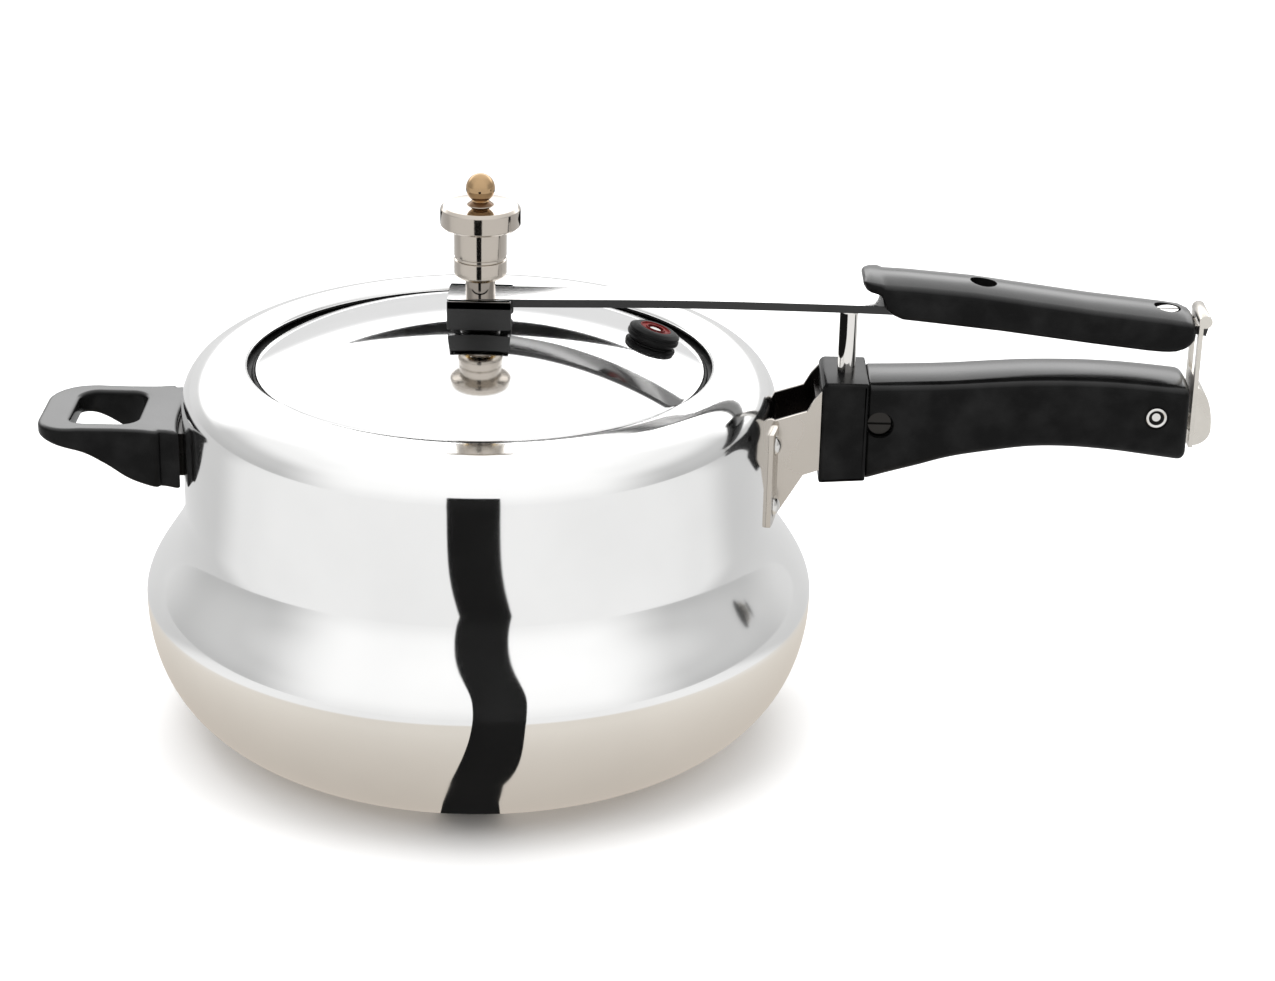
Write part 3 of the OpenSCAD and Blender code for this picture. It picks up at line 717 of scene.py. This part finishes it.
# ---------------------------------------------------------------- lever bar and post
def make_bar():
    base = low("lid_bar", 2) - 0.4
    under = spline([(-11.2, 157.0), (20, 157.45), (55, 158.1), (84, 158.3), (115, 158.1), (145, 157.6),
                    (180, 156.0), (215, 154.15), (248.5, 152.35)], 8)
    top = [(x, z + 3.0) for x, z in reversed(under)]
    strap = slab("a", under + top, -7.3, 7.3, (0.3, 0.3), 3)
    plate = slab("b", rounded([(-11.2, 157), (11.2, 157), (11.2, 160), (-11.2, 160)], 0.5), -10, 10,
                 (0.3, 0.3), 3)
    cheek = [(-11.2, base), (11.2, base), (11.2, 160), (-11.2, 160)]
    cheeks = [slab("c", rounded(cheek, [0.9, 0.9, 0.5, 0.5]), s * 8.8 - 1.2, s * 8.8 + 1.2, (0.3, 0.3), 3)
              for s in (-1, 1)]
    nose = []
    for k in range(13):
        a = math.radians(88 - 11 * k / 12)
        nose.append((246 + 41.5 * math.cos(a), 114 + 41.5 * math.sin(a)))
    for k in range(13):
        a = math.radians(77 + 11 * k / 12)
        nose.append((246 + 38.3 * math.cos(a), 114 + 38.3 * math.sin(a)))
    tip = slab("d", nose, -4.5, 4.5, (0.4, 0.4), 3)
    bar = joined("lever_strap", strap, plate, *cheeks, tip)
    tidy_mesh(bar, 40)
    weighted(bar)
    finish_with(bar, "bar_steel", "lever", "lid_bar")


def make_post():
    z, r = high("fulcrum_post", 2), 3.2
    line = [(0, 121), (r, 121)]
    for k in range(10):
        a = math.pi / 2 * k / 9
        line.append((r * math.cos(a), z - r + r * math.sin(a)))
    line[-1] = (0, z)
    place = Matrix.Translation((129.5, 0, 0))
    finish_with(lathe("fulcrum_rod", line, 64, place=place), "post_chrome", "pot", "fulcrum_post")


make_bar()
make_post()


# ---------------------------------------------------------------- grips
BOLT_X, BOLT_Z = 141.4, 118.4
RIVET_X, RIVET_Z = 238.4, 123.6
GRIP_UNDER = [(137, 97), (146, 99.8), (155, 102.4), (167, 106), (181, 108.6), (195, 110.6), (209, 110.9),
              (224, 109.9), (238, 108.2), (250, 106.7)]
GRIP_OVER = [(137, 134.2), (152, 134.7), (167, 135.4), (181, 136.5), (195, 137.4), (210, 137.7),
             (224, 137.4), (238, 136.4), (250, 135.2)]


def end_steps(x0, x1, radius0, radius1, between):
    """Places along a bar with round ends, as (x, inset there)."""
    start, finish = [], []
    for k in range(7):
        a = math.pi / 2 * k / 6
        start.append((x0 + radius0 * (1 - math.cos(a)), radius0 * (1 - math.sin(a))))
        finish.append((x1 - radius1 * (1 - math.cos(a)), radius1 * (1 - math.sin(a))))
    first, last = x0 + radius0, x1 - radius1
    middle = [(first + (last - first) * k / between, 0.0) for k in range(1, between)]
    return start + middle + finish[::-1]


def make_body_grip():
    under, over = follow(spline(GRIP_UNDER, 8)), follow(spline(GRIP_OVER, 8))
    stations = []
    for x, d in end_steps(137, 250, 1.0, 3.0, 48):
        stations.append((x, section(under(x) + d, over(x) - d, 13 - d, 4.0 - d, 4.6 - d, 0.7)))
    grip = loft("body_grip", stations)
    tools = []
    for s in (-1, 1):
        tools.append(rod("bolt_recess", (BOLT_X, s * 20, BOLT_Z), (BOLT_X, s * 8, BOLT_Z), 4.9, 48))
        tools.append(rod("rivet_seat", (RIVET_X, s * 20, RIVET_Z), (RIVET_X, s * 12.4, RIVET_Z), 4.4, 48))
    tools.append(block("clip_room", (233, -8.9, 90), (263, 8.9, 128.8)))
    cut(grip, *tools)
    soften(grip, 0.35, 2, 50)
    finish_with(grip, "black_phenolic", "pot", "body_handle")


def make_lid_grip():
    under = follow([(133.6, 168.6), (134.6, 167.2), (136, 166.5), (139.2, 166.0), (140.2, 164.4),
                    (141, 161.6), (142, 160.2), (144, 158.6), (147.5, 157), (165, 155.3), (182, 153.6),
                    (214, 149.7), (234, 147.5), (240, 147.1), (244, 147.4), (247.5, 148.8), (250, 151)])
    over = follow([(133.6, 169.8), (134.3, 170.7), (136, 171.2), (150, 170.6), (172, 168.9), (214, 163.5),
                   (240, 160.8), (246, 160), (249, 158.9), (250, 157.4)])
    half = follow([(133.6, 7), (134.4, 9), (136, 10.6), (138.5, 11.6), (142, 12), (246, 12), (249, 11),
                   (250, 9.6)])
    places = [133.6, 133.9, 134.3, 134.8, 135.4, 136.2, 137.2, 138.4, 139.4, 140.2, 141, 142, 144, 147.5]
    places += [147.5 + 98.5 * k / 40 for k in range(1, 41)] + [247, 248, 248.8, 249.4, 250]
    stations = []
    for x in places:
        tall = over(x) - under(x)
        stations.append((x, section(under(x), over(x), half(x), min(2.6, tall / 3), min(3.2, tall / 3),
                                    min(1.2, tall / 6))))
    grip = loft("lid_grip", stations, 50)
    seats = ((176, 161.1), (241, 157.8))
    cut(grip, *[rod("screw_recess", (x, 0, z), (x, 0, 190), 4.7, 48) for x, z in seats])
    soften(grip, 0.3, 2, 50)
    finish_with(grip, "black_phenolic", "lever", "lid_handle")


def make_handle_block():
    outline = [(120.5, 96.5), (120.5, 134.2), (137, 134.2), (137, 97.6)]
    piece = slab("block_body", rounded(outline, [1.0, 2.4, 0.8, 0.8]), -15, 15, (1.4, 1.6), 5)
    finish_with(piece, "block_phenolic", "pot", "handle_block")


def make_grip_rivet():
    """A tubular rivet through the end of the lower grip, with a turned head on each side."""
    heads = []
    for s in (-1, 1):
        turn = Matrix.Translation((RIVET_X, 0, RIVET_Z)) @ Matrix.Rotation(math.radians(-90 * s), 4, "X")
        line = [(0, 12.6), (1.5, 12.5), (1.7, 12.0), (2.5, 12.0), (2.7, 13.2), (3.3, 13.5), (3.65, 13.2),
                (3.65, 12.3), (2.0, 12.3), (2.0, 0), (0, 0)]
        heads.append(lathe("h", rounded(line, 0.15, False, 2), 48, place=turn))
    rivet = joined("grip_rivet", *heads)
    tidy_mesh(rivet, 35)
    finish_with(rivet, "plated_steel", "pot", "grip_screw")


make_body_grip()
make_lid_grip()
make_handle_block()
make_grip_rivet()

# ---------------------------------------------------------------- side handle
HOLE_X = -132.5


def cast(outline, angle):
    """Distance from the middle of the finger hole to the outline, in one direction."""
    way = Vector((math.cos(angle), math.sin(angle)))
    origin = Vector((HOLE_X, 0))
    best = None
    for i in range(len(outline)):
        p = Vector(outline[i - 1]) - origin
        q = Vector(outline[i]) - origin
        edge = q - p
        across = way.x * edge.y - way.y * edge.x
        if abs(across) < 1e-9:
            continue
        t = (p.x * edge.y - p.y * edge.x) / across
        s = (p.x * way.y - p.y * way.x) / across
        if t > 0 and -1e-6 <= s <= 1 + 1e-6 and (best is None or t > best):
            best = t
    return best


def side_plan():
    """The side handle from above: round nose and a flared saddle against the neck."""
    saddle = []
    for k in range(25):
        a = math.radians(180 - 13.2 + 26.4 * k / 24)
        saddle.append((106.95 * math.cos(a), 106.95 * math.sin(a)))
    outline = [(-111, 24.4), (-118, 22.6), (-128, 22.2), (-156, 23), (-156, -23), (-128, -22.2),
               (-118, -22.6), (-111, -24.4)]
    radii = [2, 20, 30, 17, 17, 30, 20, 2]
    return rounded(outline, radii, True, 10)[::-1] + saddle


# Height of the underside of the side handle along X.
side_under = follow(spline([(-156.5, 108.2), (-150, 107.4), (-139, 105), (-131, 100.8), (-123, 95.6),
                            (-116, 93.2), (-108, 92.6), (-90, 92.4)], 8))


SIDE_TOP = high("side_handle", 2)
SIDE_EDGE = 1.5


def side_over(x, drop):
    """Height of the top of the side handle at x, less drop; the top falls a little towards the nose."""
    return SIDE_TOP - drop - 0.06 * max(0, -140 - x)


def side_below(x, rise):
    return side_under(x) + rise


def edge_rings(outline, height, inwards, forwards):
    """Rings round one rounded edge, from the flat face to the wall, or the other way round."""
    rings = []
    for k in range(7):
        a = math.pi / 2 * (k if forwards else 6 - k) / 6
        shift, depth = SIDE_EDGE * (1 - math.sin(a)), SIDE_EDGE * (1 - math.cos(a))
        rings.append([(x, y, height(x, depth)) for x, y in inset(outline, inwards * shift)])
    return rings


def make_side_grip():
    count = 180
    angles = [2 * math.pi * k / count for k in range(count)]
    plan = side_plan()
    hole_plan = rounded([(-144.5, -15.5), (-120.5, -15.5), (-120.5, 15.5), (-144.5, 15.5)], 6.0, True, 12)
    outer, hole = [[(HOLE_X + cast(line, a) * math.cos(a), cast(line, a) * math.sin(a)) for a in angles]
                   for line in (plan, hole_plan)]
    rings = edge_rings(outer, side_below, 1, True) + edge_rings(outer, side_over, 1, False)
    inner = edge_rings(hole, side_over, -1, True) + edge_rings(hole, side_below, -1, False)
    out_top, low_out, low_hole = rings[-1], rings[0], inner[-1]
    for k in range(1, 6):
        rings.append([tuple(Vector(p).lerp(Vector(q), k / 6)) for p, q in zip(out_top, inner[0])])
    rings += inner
    for k in range(1, 6):
        mixed = [Vector(p).lerp(Vector(q), k / 6) for p, q in zip(low_hole, low_out)]
        rings.append([(v.x, v.y, side_under(v.x)) for v in mixed])
    verts = [v for ring in rings for v in ring]
    grip = new_piece("side_grip", verts, ring_faces(len(rings), count, True), 50)
    finish_with(grip, "black_phenolic", "pot", "side_handle")


make_side_grip()


# ---------------------------------------------------------------- nodes kept as they are
def keep(node, finish, bevel):
    """A CAD node whose shape is right: crisp edges are softened and it gets its finish."""
    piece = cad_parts[node]
    piece.data.materials.clear()
    piece.data.materials.append(FINISH[finish])
    weld = piece.modifiers.new("weld", "WELD")
    weld.merge_threshold = 0.01 * MM
    soften(piece, bevel, 2, 40)


KEPT = {
    "bracket_steel": [("handle_bracket", 0.35)],
    "plated_steel": [("bracket_rivets", 0.25), ("side_rivets", 0.25), ("loop_bracket", 0.2),
                     ("loop_pin", 0.2), ("side_handle_screw", 0.2), ("lid_handle_screws", 0.2),
                     ("shackle_pins", 0.2), ("weight_needle", 0.1), ("weight_clip", 0.1)],
    # The bolt head and its nut sit deep in recesses of the grip; their near-black steel is painted shade of
    # the recess.
    "dark_steel": [("handle_bolt", 0.3), ("handle_bolt_nut", 0.3), ("side_bracket", 0.3)],
    "black_rubber": [("vent_seal", 0.2)],
    "brass": [("vent_lock_nut", 0.3), ("valve_nut", 0.2), ("weight_core", 0.2)],
    "fusible_alloy": [("valve_plug", 0.2)],
    "loop_steel": [("locking_loop", 0.4)],
}
for kept_finish, kept_nodes in KEPT.items():
    for kept_node, kept_bevel in kept_nodes:
        keep(kept_node, kept_finish, kept_bevel)


# ---------------------------------------------------------------- camera
def make_camera():
    tilt, roll = 0.3968, 0.0223
    level = Vector((1, 0, 0))
    ahead = Vector((0, math.cos(tilt), -math.sin(tilt)))
    above = Vector((0, math.sin(tilt), math.cos(tilt)))
    right = math.cos(roll) * level + math.sin(roll) * above
    up = math.cos(roll) * above - math.sin(roll) * level
    camera = bpy.data.objects.new("camera", bpy.data.cameras.new("camera"))
    camera.data.lens = 85.71
    camera.data.sensor_width = 36
    turn = Matrix((right, up, -ahead)).transposed().to_4x4()
    camera.matrix_world = Matrix.Translation((0.05661, -1.00827, 0.50865)) @ turn
    bpy.context.scene.collection.objects.link(camera)
    bpy.context.scene.camera = camera


# ---------------------------------------------------------------- studio
def glow(name, colour, strength):
    """A plain glowing material for the reflection cards."""
    material = bpy.data.materials.new(name)
    material.use_nodes = True
    nodes = material.node_tree.nodes
    nodes.clear()
    emission = nodes.new("ShaderNodeEmission")
    emission.inputs["Color"].default_value = (*colour, 1)
    emission.inputs["Strength"].default_value = strength
    out = nodes.new("ShaderNodeOutputMaterial")
    material.node_tree.links.new(emission.outputs[0], out.inputs[0])
    return material


def only_reflected(card):
    """A card that only shows in reflections."""
    card.visible_camera = False
    card.visible_diffuse = False
    card.visible_shadow = False
    card.visible_transmission = False


def card(name, verts, faces, material):
    mesh = bpy.data.meshes.new(name)
    mesh.from_pydata(verts, [], faces)
    mesh.materials.append(material)
    piece = bpy.data.objects.new(name, mesh)
    bpy.context.scene.collection.objects.link(piece)
    only_reflected(piece)
    return piece


def ramp_value(tree, source, stops):
    ramp = tree.nodes.new("ShaderNodeValToRGB")
    ramp.color_ramp.interpolation = "EASE"
    while len(ramp.color_ramp.elements) < len(stops):
        ramp.color_ramp.elements.new(0.5)
    for element, (position, value) in zip(ramp.color_ramp.elements, stops):
        element.position = position
        element.color = (value, value, value, 1)
    tree.links.new(source, ramp.inputs["Fac"])
    return ramp.outputs["Color"]


def new_tree(name):
    material = bpy.data.materials.new(name)
    material.use_nodes = True
    material.node_tree.nodes.clear()
    return material, material.node_tree


def tree_math(tree, operation, a, b=0.0):
    node = tree.nodes.new("ShaderNodeMath")
    node.operation = operation
    for socket, value in zip(node.inputs, (a, b)):
        if isinstance(value, (int, float)):
            socket.default_value = value
        else:
            tree.links.new(value, socket)
    return node.outputs[0]


def tree_mix(tree, factor, a, b):
    mix = tree.nodes.new("ShaderNodeMix")
    mix.data_type = "RGBA"
    tree.links.new(factor, mix.inputs["Factor"])
    tree.links.new(a, mix.inputs["A"])
    tree.links.new(b, mix.inputs["B"])
    return mix.outputs["Result"]


def tree_emit(tree, colour, strength):
    emission = tree.nodes.new("ShaderNodeEmission")
    emission.inputs["Strength"].default_value = strength
    tree.links.new(colour, emission.inputs["Color"])
    out = tree.nodes.new("ShaderNodeOutputMaterial")
    tree.links.new(emission.outputs[0], out.inputs[0])


def smooth_between(tree, value, start, end):
    node = tree.nodes.new("ShaderNodeMapRange")
    node.interpolation_type = "SMOOTHSTEP"
    node.inputs["From Min"].default_value = start
    node.inputs["From Max"].default_value = end
    tree.links.new(value, node.inputs["Value"])
    return node.outputs["Result"]


def flat_place(tree):
    """The place seen, as (y, height, distance from the Z axis), in metres."""
    place = tree.nodes.new("ShaderNodeTexCoord").outputs["Object"]
    parts = tree.nodes.new("ShaderNodeSeparateXYZ")
    tree.links.new(place, parts.inputs[0])
    x, y, height = parts.outputs
    squares = tree_math(tree, "ADD", tree_math(tree, "MULTIPLY", x, x), tree_math(tree, "MULTIPLY", y, y))
    return y, height, tree_math(tree, "SQRT", squares)


def towards_back(tree, y, flat):
    """-1 in front of the cooker, 0 at its sides and 1 behind it."""
    return tree_math(tree, "DIVIDE", y, tree_math(tree, "MAXIMUM", flat, 0.01))


TENT_R, TABLE_R = 3.0, 2.9


def tent_material():
    """Light tent: bright at the back above a dark low band, white in front, greyer low at the sides."""
    material, tree = new_tree("tent")
    y, height, flat = flat_place(tree)
    rise = tree_math(tree, "DIVIDE", height, TENT_R)
    turn = towards_back(tree, y, flat)
    back = ramp_value(tree, rise, [(0.0, 0.185), (0.20, 0.19), (0.33, 0.50), (0.42, 0.62), (0.62, 0.34),
                                   (1.0, 0.30)])
    side = ramp_value(tree, rise, [(0.0, 0.13), (0.35, 0.15), (0.7, 0.24), (1.0, 0.28)])
    front = ramp_value(tree, rise, [(0.0, 0.23), (0.5, 0.26), (1.0, 0.28)])
    colour = tree_mix(tree, smooth_between(tree, turn, 0.35, 0.80), side, back)
    colour = tree_mix(tree, smooth_between(tree, turn, -0.2, -0.75), colour, front)
    tree_emit(tree, colour, 4.5)
    return material


def table_material():
    """The table as the metal sees it: beige close to the pot, further out in front; white beyond that."""
    material, tree = new_tree("table")
    y, height, flat = flat_place(tree)
    turn = towards_back(tree, y, flat)
    around = ramp_value(tree, tree_math(tree, "ADD", tree_math(tree, "MULTIPLY", turn, 0.5), 0.5),
                        [(0.0, 1.0), (0.3, 1.0), (0.44, 0.96), (0.6, 0.70), (1.0, 0.80)])
    beige = tree.nodes.new("ShaderNodeValToRGB")
    beige.color_ramp.elements[0].position = 0.09
    beige.color_ramp.elements[0].color = (0.58, 0.52, 0.455, 1)
    beige.color_ramp.elements[1].position = 0.2
    beige.color_ramp.elements[1].color = (0.84, 0.79, 0.72, 1)
    tree.links.new(flat, beige.inputs["Fac"])
    shrink = tree_math(tree, "MULTIPLY", tree_math(tree, "ADD", turn, 0.85), 0.05)
    reach = tree_math(tree, "ADD", flat, shrink)
    colour = tree_mix(tree, smooth_between(tree, reach, 0.222, 0.262), beige.outputs[0], around)
    tree_emit(tree, colour, 1.0)
    return material


def make_tent():
    """A dome of soft white light that only shows in reflections."""
    verts = []
    rows, columns = 24, 64
    for i in range(rows + 1):
        e = math.radians(-4 + 94 * i / rows)
        for k in range(columns):
            a = 2 * math.pi * k / columns
            verts.append((TENT_R * math.cos(e) * math.cos(a), TENT_R * math.cos(e) * math.sin(a),
                          TENT_R * math.sin(e)))
    tent = card("tent", verts, ring_faces(rows + 1, columns), tent_material())
    for face in tent.data.polygons:
        face.use_smooth = True


def make_floor():
    floor = bpy.data.objects.new("floor", bpy.data.meshes.new("floor"))
    size = 8.0
    z = -0.0004
    floor.data.from_pydata([(-size, -size, z), (size, -size, z), (size, size, z), (-size, size, z)], [],
                           [[0, 1, 2, 3]])
    paint = Paint("floor", (0.92, 0.92, 0.92), 0.0, 0.6)
    paint.colours(paint.noise(3.0, 2.0), (0.3, (0.90, 0.90, 0.90)), (0.7, (0.92, 0.92, 0.92)))
    floor.data.materials.append(paint.material)
    bpy.context.scene.collection.objects.link(floor)


STRIP_Y = -121.5


def bump(value, middle, reach_below, reach_above):
    """A smooth hill of height 1 over middle, with its own reach on each side."""
    reach = reach_below if value < middle else reach_above
    return math.exp(-((value - middle) / reach) ** 2)


def strip_sides(z):
    """X of both edges of the dark strip in front of the pot: upright, bent to the right before the belly."""
    middle = 3.9 + 10 * bump(z, 60, 42, 21)
    half = 11.6 - 2.2 * bump(z, 52, 18, 16)
    return middle - half, middle + half


def ladder(count):
    """Faces between pairs of points that follow one another."""
    return [[2 * i, 2 * i + 1, 2 * i + 3, 2 * i + 2] for i in range(count - 1)]


def make_cards():
    dark = glow("dark_card", (0.01, 0.01, 0.01), 1.0)
    count = 96
    angles = [2 * math.pi * k / count for k in range(count)]
    disc = [(TABLE_R * math.cos(a), TABLE_R * math.sin(a), 0.0002) for a in angles]
    card("table_card", disc, [list(range(count))], table_material())
    heights = [0.6 + k for k in range(131)]
    verts = [(x * MM, STRIP_Y * MM, z * MM) for z in heights for x in strip_sides(z)]
    card("dark_strip", verts, ladder(len(heights)), dark)
    floor_line = [(STRIP_Y, *strip_sides(0)), (-106, -8, 13), (-60, -10, 10)]
    verts = [(x * MM, y * MM, 0.0006) for y, left, right in floor_line for x in (left, right)]
    card("dark_runner", verts, ladder(len(floor_line)), dark)
    small_cards()


def one_sided(name, verts, faces):
    """A dark card that is only there when it is seen from the side its faces look to."""
    material, tree = new_tree(name)
    clear = tree.nodes.new("ShaderNodeBsdfTransparent")
    dark = tree.nodes.new("ShaderNodeEmission")
    dark.inputs["Strength"].default_value = 0.01
    back = tree.nodes.new("ShaderNodeNewGeometry")
    mix = tree.nodes.new("ShaderNodeMixShader")
    tree.links.new(back.outputs["Backfacing"], mix.inputs[0])
    tree.links.new(dark.outputs[0], mix.inputs[1])
    tree.links.new(clear.outputs[0], mix.inputs[2])
    out = tree.nodes.new("ShaderNodeOutputMaterial")
    tree.links.new(mix.outputs[0], out.inputs[0])
    return card(name, [tuple(c * MM for c in v) for v in verts], faces, material)


def small_cards():
    """Dark cards close to the cooker: an arch over the lid, one before the weight, one by the post."""
    arch_y, arch_half, arch_rise = 55, 68, 16
    places = [-1 + k / 17 for k in range(35)]
    verts = []
    for t in places:
        base = 165.6 - 2.2 * t
        verts += [(arch_half * t, arch_y, base + arch_rise * (1 - t * t)), (arch_half * t, arch_y, base)]
    one_sided("arch_card", verts, ladder(len(places)))
    one_sided("weight_card", [(-9, -42, 150), (5, -42, 150), (5, -42, 186), (-9, -42, 186)], [[3, 2, 1, 0]])
    one_sided("post_card", [(117, -45, 136), (117, 14, 136), (117, 14, 156), (117, -45, 156)], [[0, 1, 2, 3]])


def light(name, place, aim, size, watts):
    lamp = bpy.data.objects.new(name, bpy.data.lights.new(name, "AREA"))
    lamp.data.size = size
    lamp.data.energy = watts
    lamp.location = place
    lamp.rotation_euler = (Vector(aim) - Vector(place)).to_track_quat("-Z", "Y").to_euler()
    lamp.visible_glossy = False
    bpy.context.scene.collection.objects.link(lamp)


def sun():
    """A very wide sun from above: an even white floor with a soft dark shadow under the pot."""
    lamp = bpy.data.objects.new("sun", bpy.data.lights.new("sun", "SUN"))
    lamp.data.energy = 2.6
    lamp.data.angle = 1.1
    lamp.rotation_euler = Vector((-0.05, 0.25, 1)).to_track_quat("Z", "Y").to_euler()
    lamp.visible_glossy = False
    bpy.context.scene.collection.objects.link(lamp)


def make_world():
    world = bpy.data.worlds.new("white")
    world.use_nodes = True
    world.node_tree.nodes["Background"].inputs[0].default_value = (1, 1, 1, 1)
    world.node_tree.nodes["Background"].inputs[1].default_value = 0.5
    bpy.context.scene.world = world
    bpy.context.scene.view_settings.view_transform = "Standard"


make_camera()
make_world()
make_floor()
make_tent()
make_cards()
sun()
light("key", (-0.8, -0.9, 1.6), (0, 0, 0.1), 1.2, 14)
light("fill", (1.1, -0.4, 1.3), (0, 0, 0.1), 1.0, 8)
light("back", (0.2, 1.3, 1.2), (0, 0, 0.1), 1.2, 10)
